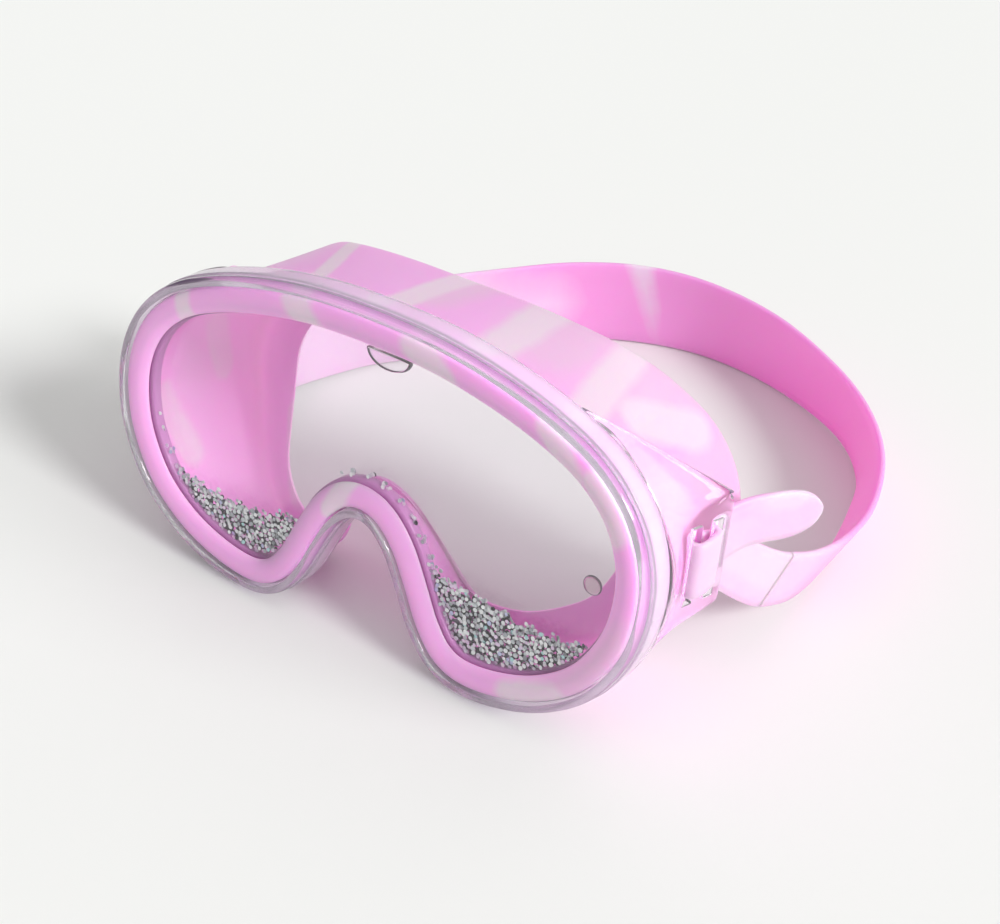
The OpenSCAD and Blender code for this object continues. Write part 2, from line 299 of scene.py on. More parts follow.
def cut_away(piece, other):
    """Cuts another closed piece out of a piece."""
    modifier = piece.modifiers.new("cut", "BOOLEAN")
    modifier.operation = "DIFFERENCE"
    modifier.solver = "MANIFOLD"
    modifier.object = other
    applied(piece)
    bpy.data.objects.remove(other)
    return piece


def grid_faces(k, m, closed=False):
    """Quads between k loops of m points, and back to the first loop where closed."""
    return [
        (j * m + i, j * m + (i + 1) % m, (j + 1) % k * m + (i + 1) % m, (j + 1) % k * m + i)
        for j in range(k if closed else k - 1) for i in range(m)
    ]


def swept_ring(name, loops, material, levels=1, reflection_tones=None):
    """A closed ring from loops of points that go round it; the loops follow its section."""
    loops = [on_table(p) for p in loops]
    m = len(loops[0])
    faces = grid_faces(len(loops), m, closed=True)
    piece = outward_faces(new_piece(name, np.concatenate(loops), faces, material))
    if reflection_tones is not None:
        set_values(piece, "tone", np.repeat(reflection_tones, m))
    return subdivided(piece, levels) if levels else piece


def grid_bar(name, sections, material):
    """A closed bar through a list of sections, each a loop of points, with flat ends."""
    k, m = len(sections), len(sections[0])
    faces = grid_faces(k, m)
    sides = len(faces)
    faces += [tuple(range(m))[::-1], tuple((k - 1) * m + i for i in range(m))]
    piece = outward_faces(new_piece(name, np.concatenate(sections), faces, material))
    for cap in piece.data.polygons[sides:]:
        cap.use_smooth = False
    return piece


def plate(name, outline, depth0, depth1, material, round_edge=0.25):
    """A flat plate with a closed outline in the mask's front view and slightly rounded edges."""
    centre = outline.mean(0)

    def ring(inset, depth):
        away = unit(np.roll(outline, -1, 0) - np.roll(outline, 1, 0))
        normal = np.stack([-away[:, 1], away[:, 0]], 1)
        if ((outline - centre) * normal).sum() < 0:
            normal = -normal
        flat = outline - normal * inset
        return np.stack([flat[:, 0], np.full(len(flat), depth), flat[:, 1]], 1)

    r = round_edge
    loops = [ring(r, depth0), ring(0.3 * r, depth0 + 0.3 * r), ring(0, depth0 + r),
             ring(0, depth1 - r), ring(0.3 * r, depth1 - 0.3 * r), ring(r, depth1)]
    return grid_bar(name, [on_table(p) for p in loops], material)


def finish_piece(piece, body, slot, *nodes):
    """Says which body carries a piece and the nodes whose looks it takes over. The material slot is not used.
    """
    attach(piece, body)
    if nodes:
        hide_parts(*nodes)
    return piece


# ---- Materials -----------------------------------------------------------------------


def fill_ramp(ramp, stops, interpolation="LINEAR"):
    """Fills a colour ramp from a list of (position, colour)."""
    bands = ramp.color_ramp
    bands.interpolation = interpolation
    while len(bands.elements) < len(stops):
        bands.elements.new(0.5)
    for element, (position, colour) in zip(bands.elements, stops):
        element.position = position
        element.color = colour


class Nodes:
    """A small helper that adds and links the nodes of one material."""

    def __init__(self, name):
        self.material = bpy.data.materials.new(name)
        self.material.use_nodes = True
        self.tree = self.material.node_tree
        self.tree.nodes.clear()
        self.output = self.tree.nodes.new("ShaderNodeOutputMaterial")

    def add(self, kind, links=None, **values):
        node = self.tree.nodes.new("ShaderNode" + kind)
        for key, value in values.items():
            setattr(node, key, value)
        for socket, source in (links or {}).items():
            target = node.inputs[socket]
            if hasattr(source, "node"):
                self.tree.links.new(source, target)
            else:
                target.default_value = source
        return node

    def principled(self, **links):
        names = {key.replace("_", " "): value for key, value in links.items()}
        return self.add("BsdfPrincipled", names)

    def surface(self, shader):
        self.tree.links.new(shader.outputs[0], self.output.inputs["Surface"])
        return self.material


# The clear ring's painted reflections: greyish at its face, lilac along its side for the pink skirt seen
# through it, dark at its edges
RING_REFLECTION_TONES = [(0.0, (0.86, 0.88, 0.88, 1)), (0.5, (0.92, 0.81, 0.92, 1)), (1.0, (0.4, 0.32, 0.44, 1))]
# Where a swirl's or a paler patch's edge lies, and how much each attribute frays and how sharply it ends
SWIRL_EDGE = 0.28
SWIRL_SHAPES = {"pale": (0.3, 1.6), "white": (0.5, 2.4)}
# Flakes by their number: silver and white, then teal, lilac and blue, then dark flakes, painted shade, from
# SHADE_DARK_FROM up
SHADE_DARK_FROM = 0.8
FLAKE_TONES = [
    (0.0, (0.88, 0.9, 0.91, 1)), (0.24, (0.97, 0.98, 0.98, 1)), (0.42, (0.64, 0.68, 0.7, 1)),
    (0.6, (0.42, 0.44, 0.48, 1)), (0.67, (0.5, 0.8, 0.8, 1)), (0.7, (0.86, 0.68, 0.88, 1)),
    (0.76, (0.6, 0.62, 0.86, 1)), (SHADE_DARK_FROM, (0.02, 0.02, 0.03, 1)), (0.93, (0.1, 0.09, 0.13, 1)),
]


def clear_plastic(name, tint, through, roughness, clarity=1.0, reflection_toned=False):
    """Clear moulded plastic. Lamps shine through it, dimmed by the colour through. When toned, its colour is
    painted reflection read from the attribute tone.
    """
    n = Nodes(name)
    place = n.add("TexCoord").outputs["Object"]
    ripple = n.add("TexNoise", {"Vector": place, "Scale": 25.0, "Detail": 1.0})
    bump = n.add("Bump", {"Height": ripple.outputs[0], "Strength": 0.04, "Distance": 0.002})
    body = n.principled(Base_Color=tint, Roughness=roughness, IOR=1.49, Transmission_Weight=clarity,
                        Normal=bump.outputs[0])
    if reflection_toned:
        ramp = n.add("ValToRGB", {0: n.add("Attribute", attribute_name="tone").outputs["Fac"]})
        fill_ramp(ramp, RING_REFLECTION_TONES)
        n.tree.links.new(ramp.outputs[0], body.inputs["Base Color"])
    lamp = n.add("LightPath").outputs["Is Shadow Ray"]
    open_way = n.add("BsdfTransparent", {"Color": through})
    mix = n.add("MixShader", {0: lamp, 1: body.outputs[0], 2: open_way.outputs[0]})
    return n.surface(mix)


def marbled_silicone_with_painted_glow(name, pink, pale, white, glow):
    """Pink silicone with white streaks and paler patches, placed by the attributes white and pale.

    The attribute inward marks the faces that light reaches through the soft wall, where an emission paints
    that light as a glow.
    """
    n = Nodes(name)
    place = n.add("TexCoord").outputs["Object"]
    wisp = n.add("TexNoise", {"Vector": place, "Scale": 55.0, "Detail": 3.0, "Roughness": 0.6})
    tone = pink
    for attribute, colour in (("pale", pale), ("white", white)):
        share, sharp = SWIRL_SHAPES[attribute]
        mark = n.add("Attribute", attribute_name=attribute).outputs["Fac"]
        centred = n.add("Math", {0: wisp.outputs[0], 1: 0.5}, operation="SUBTRACT")
        frayed = n.add("Math", {0: centred.outputs[0], 1: share, 2: mark}, operation="MULTIPLY_ADD")
        lifted = n.add("Math", {0: frayed.outputs[0], 1: SWIRL_EDGE}, operation="SUBTRACT")
        steep = n.add("Math", {0: lifted.outputs[0], 1: sharp}, operation="MULTIPLY")
        amount = n.add("Clamp", {"Value": steep.outputs[0], "Min": 0.0, "Max": 1.0})
        mixed = n.add("Mix", {0: amount.outputs[0], 6: tone, 7: colour}, data_type="RGBA")
        tone = mixed.outputs[2]
    grain = n.add("TexNoise", {"Vector": place, "Scale": 900.0, "Detail": 2.0})
    bump = n.add("Bump", {"Height": grain.outputs[0], "Strength": 0.05, "Distance": 0.0004})
    painted_glow = n.add("Attribute", attribute_name="painted_glow").outputs["Fac"]
    body = n.principled(Base_Color=tone, Roughness=0.36, IOR=1.41,
                        Emission_Color=glow, Emission_Strength=painted_glow,
                        Subsurface_Weight=0.7, Subsurface_Radius=(1.0, 0.4, 0.8),
                        Subsurface_Scale=0.005, Coat_Weight=0.12, Coat_Roughness=0.2,
                        Normal=bump.outputs[0])
    return n.surface(body)


def glitter_film():
    """Metallised film flakes: mostly silver and white, some iridescent, and dark ones that paint the shade
    deep in the heaps.
    """
    n = Nodes("glitter_film")
    pick = n.add("Attribute", attribute_name="flake").outputs["Fac"]
    ramp = n.add("ValToRGB", {0: pick})
    fill_ramp(ramp, FLAKE_TONES, "CONSTANT")
    body = n.principled(Base_Color=ramp.outputs[0], Metallic=0.7, Roughness=0.3)
    return n.surface(body)


def spacer_film():
    """The glossy magenta band between the panes."""
    n = Nodes("spacer_film")
    place = n.add("TexCoord").outputs["Object"]
    tone = n.add("TexNoise", {"Vector": place, "Scale": 40.0, "Detail": 2.0})
    colour = n.add("Mix", {0: tone.outputs[0], 6: (0.5, 0.16, 0.45, 1), 7: (0.62, 0.27, 0.57, 1)},
                   data_type="RGBA")
    body = n.principled(Base_Color=colour.outputs[2], Roughness=0.3, IOR=1.5)
    return n.surface(body)


def floor_paint():
    """Matt white paint, very slightly uneven."""
    n = Nodes("studio_floor")
    place = n.add("TexCoord").outputs["Object"]
    tone = n.add("TexNoise", {"Vector": place, "Scale": 2.0, "Detail": 1.0})
    colour = n.add("Mix", {0: tone.outputs[0], 6: (0.86, 0.868, 0.85, 1), 7: (0.865, 0.873, 0.855, 1)},
                   data_type="RGBA")
    body = n.principled(Base_Color=colour.outputs[2], Roughness=0.9, Specular_IOR_Level=0.0)
    return n.surface(body)


ring_shade = (0.92, 0.9, 0.94, 1)
bezel_plastic = clear_plastic("bezel_plastic", (0.8, 0.75, 0.84, 1), ring_shade, 0.05, 0.86, reflection_toned=True)
wall_plastic = clear_plastic("wall_plastic", (0.84, 0.78, 0.88, 1), ring_shade, 0.09, 0.68, reflection_toned=True)
wing_plastic = clear_plastic("wing_plastic", (0.95, 0.9, 0.95, 1), (0.88, 0.84, 0.89, 1), 0.04, 0.97)
pane_plastic = clear_plastic("pane_plastic", (0.92, 0.925, 0.93, 1), (0.97, 0.97, 0.97, 1), 0.0)
plug_plastic = clear_plastic("plug_plastic", (0.95, 0.76, 0.84, 1), (0.9, 0.8, 0.86, 1), 0.1, 0.85)
# Painted reflections: dark and half-dark clear plastic for the lines along clear edges
dark_reflection_plastic = clear_plastic("dark_reflection_plastic", (0.17, 0.11, 0.19, 1), (0.7, 0.62, 0.7, 1), 0.1, 0.25)
soft_reflection_plastic = clear_plastic("soft_reflection_plastic", (0.42, 0.34, 0.45, 1), (0.8, 0.74, 0.8, 1), 0.1, 0.4)
skirt_silicone = marbled_silicone_with_painted_glow("skirt_silicone", (0.9, 0.43, 0.78, 1), (0.8, 0.49, 0.71, 1),
                                  (0.8, 0.62, 0.74, 1), (0.25, 0.08, 0.19, 1))
strap_silicone = marbled_silicone_with_painted_glow("strap_silicone", (0.87, 0.36, 0.7, 1), (0.83, 0.57, 0.77, 1),
                                  (0.82, 0.63, 0.77, 1), (0.2, 0.0, 0.08, 1))

# ---- Marbling, painted light and painted glow ----------------------------------------


def vertex_vectors(piece, name):
    """One vector of each vertex, its place "co" or its "normal", as rows of an array."""
    values = np.zeros(len(piece.data.vertices) * 3)
    piece.data.vertices.foreach_get(name, values)
    return values.reshape(-1, 3)


def mark_white_and_pale(piece, whites, pales):
    """Sets the attributes white and pale from streaks: two end points and a radius, in millimetres."""
    co = vertex_vectors(piece, "co") / MM
    for name, streaks in (("white", whites), ("pale", pales)):
        value = np.zeros(len(co))
        for a, b, radius in streaks:
            a, b = np.array(a, float), np.array(b, float)
            t = np.clip((co - a) @ (b - a) / ((b - a) @ (b - a)), 0, 1)
            gap = np.linalg.norm(co - a - t[:, None] * (b - a), axis=1)
            value = np.maximum(value, np.clip(1.25 - gap / radius, 0, 1))
        set_values(piece, name, value)
    return piece


def on_mask(*streaks):
    """Streaks given in the mask's upright frame (x, depth, height), moved to the row's frame."""
    return [(on_table(a), on_table(b), radius) for a, b, radius in streaks]


def mark_painted_glow(piece, centre, fade=None):
    """Sets the attribute inward, the strength of the painted glow: how far each normal points at a centre, in
    millimetres.

    Given a fade of two x values, the attribute grows from none at the first to full at the second.
    """
    co = vertex_vectors(piece, "co") / MM
    to_centre = unit(np.array(centre, float) - co)
    facing = np.clip(np.sum(to_centre * vertex_vectors(piece, "normal"), axis=1) * 1.8, 0, 1)
    if fade:
        facing *= np.clip((co[:, 0] - fade[0]) / (fade[1] - fade[0]), 0, 1)
    set_values(piece, "painted_glow", facing)
    return piece


SKIRT_WHITES = on_mask(
    # Across the bead
    ((-60, 0, 78), (-58, 2, 66), 3.6), ((-24, 0, 86), (-19, 2, 78), 5.5), ((12, 0, 86), (20, 1, 80), 5.5),
    ((50, 0, 79), (57, 2, 70), 4.6), ((64, 0, 70), (70, 2, 60), 4.6), ((-9, 0, 34), (-4, 2, 45), 3.6),
    ((48, 1, 7), (60, 2, 12), 5),
    # Over the brow, from the frame to the rear edge
    ((-39, 44, 84), (-29, 14, 85), 3.2), ((-1, 44, 87), (-5, 10, 87), 4.6), ((23, 44, 86), (25, 12, 86), 7),
    ((45, 44, 82), (52, 12, 79), 6), ((62, 46, 66), (56, 28, 74), 7),
    # Inside, past the lens
    ((-71, 26, 60), (-72, 34, 40), 5), ((-74, 11, 38), (-69, 16, 22), 6), ((-50, 40, 30), (-40, 32, 16), 7),
    ((-70, 18, 66), (-66, 24, 74), 6),
    # Below the nose
    ((0, 8, 30), (-6, 16, 26), 3),
)
# Paler patches over the top and right side of the skirt: painted light where the lamps fall on it
SKIRT_PAINTED_LIGHT = on_mask(
    ((32, 28, 86), (34, 50, 86), 19), ((56, 28, 80), (56, 56, 76), 20), ((78, 26, 60), (74, 56, 60), 20),
    ((82, 28, 36), (80, 56, 40), 18), ((0, 24, 88), (4, 44, 88), 9), ((62, 0, 12), (78, 0, 34), 9),
)
STRAP_WHITES = [
    ((-14, 84, 2), (-20, 80, 30), 6), ((86, -22, 22), (82, -34, 34), 6), ((84, -44, 50), (90, -24, 50), 5),
    ((-84, -30, 34), (-86, -12, 10), 10),
]
STRAP_PALES = [
    ((80, -50, 44), (86, -14, 20), 24), ((84, -40, 44), (94, -14, 44), 16),
    ((-84, -50, 44), (-86, 0, 14), 30), ((-86, 0, 14), (-60, 44, 14), 26), ((-60, 46, 14), (-44, 66, 14), 14),
]

# ---- Frame ---------------------------------------------------------------------------


def reflection_toned_ring(name, section, material):
    """A ring of clear plastic from its section: distance outside the outline, depth and the tone of its
    painted reflection.
    """
    o = Outline(4)
    loops = [o.at(off, depth) for off, depth, tone in section]
    return swept_ring(name, loops, material, 2, [tone for off, depth, tone in section])


def clear_bezel():
    """The front half of the clear ring, up to the seam."""
    back = BEZEL_DEPTH - CLEAR
    section = [(0.35, 1.5, 0), (0.5, 0.5, 0), (1.0, 0.05, 0), (1.9, 0.02, 0.1), (2.6, 0.35, 0.7),
               (2.95, 1.2, 1), (3.0, 2.4, 0.9), (2.95, back, 0.6), (2.0, back, 0.5),
               (1.0, back, 0.3), (0.35, back, 0.1), (0.35, 2.4, 0)]
    return reflection_toned_ring("clear_bezel", section, bezel_plastic)


def clear_rear_frame():
    """The rear half of the clear ring, from the seam back."""
    front, back = BEZEL_DEPTH + CLEAR, FRAME_DEPTH
    section = [(0.35, front, 0.1), (1.4, front, 0.3), (2.6, front, 0.5), (3.2, front + 0.1, 0.8),
               (3.3, front + 0.8, 0.55), (3.3, 6.2, 0.45), (3.3, 8, 0.45), (3.3, back - 1, 0.5),
               (3.25, back - 0.4, 0.8), (3.0, back - 0.05, 1), (2.4, back, 0.7), (1.4, back, 0.4),
               (0.5, back, 0.3), (0.35, back - 0.5, 0.3), (0.35, 7, 0.2)]
    return reflection_toned_ring("clear_rear_frame", section, wall_plastic)


# How far the rear top corner is rounded off, row by row
WING_CORNER = (1.7, 0.4)


def wing_sheet():
    """The middle surface of the right wing: rows from its top edge down, from the frame to its rear."""
    # The web leaves the frame between these places of the outline, counted in its rows
    first, last = 3.1, 9.0
    per_row = 12
    o = Outline(per_row)
    rows = 16
    # The first rows start along the plate's top edge, the others along its front edge
    top_rows = 5
    root_edge = o.at(FRAME_LIP - WING_T / 2, FRAME_DEPTH - 0.6)
    lip_edge = o.at(FRAME_LIP - WING_T / 2 + 0.25, FRAME_DEPTH + 0.8)
    sheet = []
    for k in range(rows + 1):
        i = round((first + (last - first) * k / rows) * per_row)
        if k < top_rows:
            back = (WING_END - 1.5) * (1 - k / top_rows)
            height = PLATE_TOP + (PLATE_FRONT - PLATE_TOP) * k / top_rows
        else:
            back = 0.0
            height = PLATE_FRONT + (PLATE_LOW - PLATE_FRONT) * (k - top_rows) / (rows - top_rows)
        rear_height = PLATE_TOP - 0.8 + (PLATE_LOW - PLATE_TOP + 3.5) * (k / rows) ** 1.15
        start = at_wing((-WING_T / 2, back, height))
        corner = WING_CORNER[k] if k < len(WING_CORNER) else 0.0
        rear = at_wing((-WING_T / 2, WING_END - corner, rear_height))
        root, lip = root_edge[i], lip_edge[i]
        sheet.append([root, lip, lip + (start - lip) * 0.35, lip + (start - lip) * 0.7, start,
                      start + (rear - start) * 0.35, start + (rear - start) * 0.7, rear])
    return np.array(sheet)


def clear_wing(name, side):
    """One wing: a curved web from the frame's rear edge and a flat plate with two slots."""
    centre = wing_sheet()
    normal = unit(np.cross(np.gradient(centre, axis=1), np.gradient(centre, axis=0)))
    if normal[len(centre) // 2, 3, 0] < 0:
        normal = -normal
    thick = np.linspace(WING_T, 1.6, centre.shape[1])[None, :, None]
    outer = centre + normal * WING_T / 2
    inner = outer - normal * thick
    rows, cols = outer.shape[:2]
    points = on_table(np.concatenate([outer, inner[:, ::-1]], axis=1))
    points[..., 0] *= side
    m = 2 * cols
    faces = grid_faces(rows, m)
    for k, flip in ((0, False), (rows - 1, True)):
        for i in range(cols - 1):
            quad = (k * m + i, k * m + i + 1, k * m + m - 2 - i, k * m + m - 1 - i)
            faces.append(quad if flip else quad[::-1])
    piece = outward_faces(new_piece(name, points.reshape(-1, 3), faces, wing_plastic))
    subdivided(piece, 2)
    for start, end in SLOTS:
        low = STRAP_V + 1 - SLOT_H / 2
        corners = [(out, back, z) for out in (-6, 4) for back in (start, end) for z in (low, low + SLOT_H)]
        cutter_points = on_table(at_wing(np.array(corners)))
        cutter_points[:, 0] *= side
        quads = [(0, 1, 3, 2), (4, 6, 7, 5), (0, 4, 5, 1), (2, 3, 7, 6), (0, 2, 6, 4), (1, 5, 7, 3)]
        cutter = outward_faces(new_piece("cutter", cutter_points, quads, wing_plastic, flat=True))
        cut_away(piece, cutter)
    for polygon in piece.data.polygons:
        polygon.use_smooth = True
    piece.data.set_sharp_from_angle(angle=math.radians(40))
    return piece


def reflection_line(name, line, radius, material, taper=False):
    """A thin line of painted dark reflection along an edge of clear plastic, as a slim tube along points in
    millimetres.
    """
    line = np.asarray(line, float)
    along = along_line(line)
    across = unit(np.cross(along, (0.3, 0.2, 1.0)))
    other = np.cross(along, across)
    turn = np.linspace(0, 2 * math.pi, 8, endpoint=False)
    size = np.full(len(line), radius)
    if taper:
        size = radius * (0.08 + 0.92 * np.sin(np.linspace(0, math.pi, len(line))))
    sections = [
        np.array([line[i] + size[i] * (math.cos(a) * across[i] + math.sin(a) * other[i]) for a in turn])
        for i in range(len(line))
    ]
    return grid_bar(name, sections, material)


def wing_reflection_line(name, side):
    """The painted reflection line along a wing's top and rear edges, round its rear top corner."""
    sheet = wing_sheet()
    outer = on_table(open_curve(np.vstack([sheet[0, 1:], sheet[1:-1, -1]]), 4))
    return reflection_line(name, outer * (side, 1, 1), 0.3, soft_reflection_plastic)


def dark_glint():
    """The dark reflection that lies along the bezel's shoulder at its upper left."""
    line = Outline(8).at(2.35, 0.75)
    line = line[(line[:, 0] > -66) & (line[:, 0] < -48) & (line[:, 2] > 60)]
    return reflection_line("dark_glint", on_table(line), 0.62, dark_reflection_plastic, taper=True)


finish_piece(clear_bezel(), "mask", "clear_frame", "front_bezel")
finish_piece(clear_rear_frame(), "mask", "clear_frame", "rear_frame")
finish_piece(dark_glint(), "mask", "clear_frame")
for side, label in ((1, "right"), (-1, "left")):
    finish_piece(clear_wing(f"clear_wing_{label}", side), "mask", "clear_frame")
    finish_piece(wing_reflection_line(f"wing_reflection_line_{label}", side), "mask", "clear_frame")

# ---- Lens ----------------------------------------------------------------------------

FINE = Outline(6)
PANE_EDGE = -2.7


def flat_outline(off):
    """The outline moved out by off, as x and height."""
    return FINE.at(off, 0)[:, [0, 2]]


def tab_arc():
    """The lower half of an oval that outlines the tab: x, height."""
    return np.array([
        (TAB[0] * math.cos(a), TAB_V + TAB[1] * math.sin(a)) for a in np.linspace(math.pi, 2 * math.pi, 33)
    ])


def half_oval_tab():
    """The mould's half-oval tab on the back pane, at the middle of the top edge."""
    return plate("half_oval_tab", tab_arc(), LENS_BACK - 0.3, LENS_BACK + 1.1, pane_plastic, 0.3)


def flat_line(points, depth):
    """A line of (x, height) points of the mask's front view, at a depth, in the row's frame."""
    return on_table(np.stack([points[:, 0], np.full(len(points), depth), points[:, 1]], 1))


def plug_circle(radius, start=0.0, end=2 * math.pi, count=48):
    """An arc about the plug's centre, a full round unless told otherwise: x, height."""
    turn = np.linspace(start, end, count)
    return np.stack([PLUG_AT[0] + radius * np.cos(turn), PLUG_AT[1] + radius * np.sin(turn)], 1)


def fill_plug():
    """The disc that closes the filling hole."""
    disc = plug_circle(PLUG_R)[:-1]
    return plate("fill_plug_disc", disc, LENS_BACK + CLEAR, LENS_BACK + 0.85, plug_plastic, 0.3)


front_pane = plate("front_pane", flat_outline(PANE_EDGE), LENS_FRONT, CHAMBER_FRONT, pane_plastic)
back_pane = plate("back_pane", flat_outline(PANE_EDGE), CHAMBER_BACK, LENS_BACK, pane_plastic)
finish_piece(front_pane, "mask", "lens", "front_lens")
finish_piece(back_pane, "mask", "lens", "back_lens")
finish_piece(half_oval_tab(), "mask", "lens")
# A painted dark reflection along the tab's lower edge
tab_line = reflection_line("tab_reflection_line", flat_line(tab_arc()[1:-1], LENS_BACK + 0.9), 0.3, dark_reflection_plastic)
finish_piece(tab_line, "mask", "lens")
finish_piece(fill_plug(), "mask", "plug", "fill_plug")
# Painted reflections round the plug's rim: a dark arc over its right and top, a paler arc round its left and
# bottom
for name, start, end, material in (
        ("plug_rim_dark_reflection", -0.7, 2.2, dark_reflection_plastic), ("plug_rim_pale_reflection", 2.2, 5.58, soft_reflection_plastic)):
    rim_line = flat_line(plug_circle(PLUG_R + CLEAR, start, end, 30), LENS_BACK + 0.5)
    rim = reflection_line(name, rim_line, 0.22, material)
    finish_piece(rim, "mask", "plug")

spacer_loops = [FINE.at(off, depth) for off, depth in (
    (2 - BEAD, CHAMBER_FRONT + 0.02), (-BEAD - 0.4, CHAMBER_FRONT + 0.02), (-BEAD - 0.6, CHAMBER_FRONT + 0.4),
    (-BEAD - 0.6, CHAMBER_BACK - 0.4), (-BEAD - 0.4, CHAMBER_BACK - 0.02), (2 - BEAD, CHAMBER_BACK - 0.02))]
finish_piece(swept_ring("spacer_ring", spacer_loops, spacer_film(), 0), "mask", "spacer", "lens_spacer")


def inside(outline, x, z):
    """Which points lie inside a closed outline."""
    result = np.zeros(len(x), bool)
    for (x0, z0), (x1, z1) in zip(outline, np.roll(outline, -1, 0)):
        crosses = (z0 > z) != (z1 > z)
        with np.errstate(divide="ignore", invalid="ignore"):
            at_x = x0 + (z - z0) / (z1 - z0) * (x1 - x0)
        result ^= crosses & (x < at_x)
    return result


# Tops of the two heaps in the mask's front view: x, height
HEAP_X = (-75, -61, -52, -43, -33, -21, 0, 16, 27, 39, 45, 55, 66, 75)
HEAP_TOP = (26, 23, 21.5, 21.2, 22, 25.5, 29, 29.5, 27.2, 25.5, 24.3, 25, 26.5, 28)


def spread(x, z, gap):
    """The numbers of the points that stand at least a gap from every earlier one kept."""
    kept = []
    for i in range(len(x)):
        if not kept or np.min((x[kept] - x[i]) ** 2 + (z[kept] - z[i]) ** 2) > gap * gap:
            kept.append(i)
    return kept


def glitter_flakes(radius=0.57):
    """Loose flakes settled in the two lobes, layer behind layer, with a few that cling higher up."""
    rng = np.random.default_rng(7)
    chamber = flat_outline(-BEAD - 1.1)
    layers = []
    # Each layer: depth behind the front pane, spacing, share of flakes painted dark as shade
    for back, gap, dark in ((0.2, 1.1, 0.0), (0.6, 1.08, 0.3), (1.0, 0.85, 0.95), (1.4, 0.8, 1.0)):
        x = rng.uniform(-74, 74, 26000)
        z = rng.uniform(4, 48, 26000)
        top = np.interp(x, HEAP_X, HEAP_TOP) + 0.6 * np.sin(x * 0.9 + 1)
        below = top - z
        wall = np.min(np.hypot(x[:, None] - chamber[None, ::3, 0], z[:, None] - chamber[None, ::3, 1]), 1)
        # Thins out over the last few millimetres towards the top
        settled = rng.random(len(x)) < np.clip(0.12 + below / 5.0, 0, 0.7) * (below > -2.2)
        trail = (x < -50) & (z < 40) & (wall < 1.5) & (rng.random(len(x)) < 0.2 * np.exp(-(z - top) / 8))
        arch = (x > -10) & (x < 20) & (wall < 1.3) & (z > 27) & (rng.random(len(x)) < 0.16)
        keep = inside(chamber, x, z) & (wall > 0.5) & (settled | trail | arch)
        x, z, below = x[keep], z[keep], below[keep]
        kept = spread(x, z, gap)
        n = len(kept)
        # Painted shade: the deeper a flake lies below the heap's top, the likelier it is painted dark
        in_shade = rng.random(n) < dark * np.clip(below[kept] / 3.5, 0.1, 1)
        shade = np.where(in_shade, 0.81 + 0.18 * rng.random(n), 0.795 * rng.random(n))
        layers.append(np.stack([x[kept], z[kept], CHAMBER_FRONT + back + 0.12 * rng.random(n), shade]))
    x, z, depth, shade = np.concatenate(layers, axis=1)
    n = len(x)
    size = radius * rng.uniform(0.85, 1.12, n)
    tilt = np.radians(rng.normal(0, 7, (n, 2)))
    sides = 8
    turn = np.linspace(0, 2 * math.pi, sides, endpoint=False)
    ring = np.stack([np.cos(turn), np.sin(turn)], 1)
    points = np.zeros((n, 2 * sides, 3))
    for layer, thick in ((0, -0.03), (1, 0.03)):
        for s in range(sides):
            u, v = ring[s, 0] * size, ring[s, 1] * size
            k = layer * sides + s
            points[:, k, 0] = x + u * np.cos(tilt[:, 0])
            points[:, k, 2] = z + v * np.cos(tilt[:, 1])
            points[:, k, 1] = depth + thick + u * np.sin(tilt[:, 0]) + v * np.sin(tilt[:, 1])
    points[..., 1] = np.clip(points[..., 1], CHAMBER_FRONT + 0.05, CHAMBER_BACK - 0.05)
    one = [tuple(range(sides)), tuple(range(2 * sides - 1, sides - 1, -1))]
    one += [(s, s + sides, (s + 1) % sides + sides, (s + 1) % sides) for s in range(sides)]
    faces = [tuple(i + f * 2 * sides for i in face) for f in range(n) for face in one]
    piece = new_piece("glitter_flakes", on_table(points.reshape(-1, 3)), faces, glitter_film(), flat=True)
    set_values(piece, "flake", np.repeat(shade, 2 * sides))
    return piece


finish_piece(glitter_flakes(), "mask", "glitter", "glitter")

# ---- Skirt ---------------------------------------------------------------------------


def soft_skirt():
    o = Outline(4)
    loops = [
        o.at(0, 1.3), o.at(0, 5), o.at(0, FRAME_DEPTH - 0.2), o.wall(0.08, 0.4), o.wall(0.35, 0),
        o.wall(0.7, 0), o.wall(0.93, 0),
        o.seal(0.04, 0.6), o.seal(0.2, 0), o.seal(0.6, 0), o.seal(0.94, 0), o.seal(1, 0.1),
        o.seal(1, 1), o.seal(0.94, 1.2), o.seal(0.6, 1.3), o.seal(0.22, 2), o.wall(0.86, SKIRT),
        o.wall(0.66, SKIRT), o.wall(0.33, SKIRT), o.wall(0.05, SKIRT + 0.6),
        o.at(-5, LENS_BACK + 1.2), o.at(-5.4, LENS_BACK + 0.05), o.at(-4, LENS_BACK + 0.05),
        o.at(-2.6, LENS_BACK + 0.05), o.at(-2.5, 5.5), o.at(-2.6, LENS_FRONT - 0.05),
        o.at(-4.5, LENS_FRONT - 0.05), o.at(-BEAD, LENS_FRONT - 0.05), o.at(-BEAD - 0.1, 2.1),
        o.at(0.4 - BEAD, 1.45), o.at(-4.4, 0.6), o.at(-2.6, 0.25), o.at(-0.9, 0.45), o.at(-0.1, 0.9),
    ]
    return swept_ring("soft_skirt", loops, skirt_silicone, 2)


# The skirt's faces turned towards a centre inside the mask get a painted glow
skirt = mark_painted_glow(mark_white_and_pale(soft_skirt(), SKIRT_WHITES, SKIRT_PAINTED_LIGHT), (0, -62, 42))
finish_piece(skirt, "mask", "skirt_silicone", "skirt")

# ---- Strap ---------------------------------------------------------------------------

# The strap's section as shares of its half width and half thickness, with rounded edges
TOP_PROFILE = [(-1, 0), (-0.985, 0.6), (-0.94, 0.95), (-0.7, 1), (0, 1), (0.7, 1), (0.94, 0.95), (0.985, 0.6)]
PROFILE = TOP_PROFILE + [(-w, -t) for w, t in TOP_PROFILE]


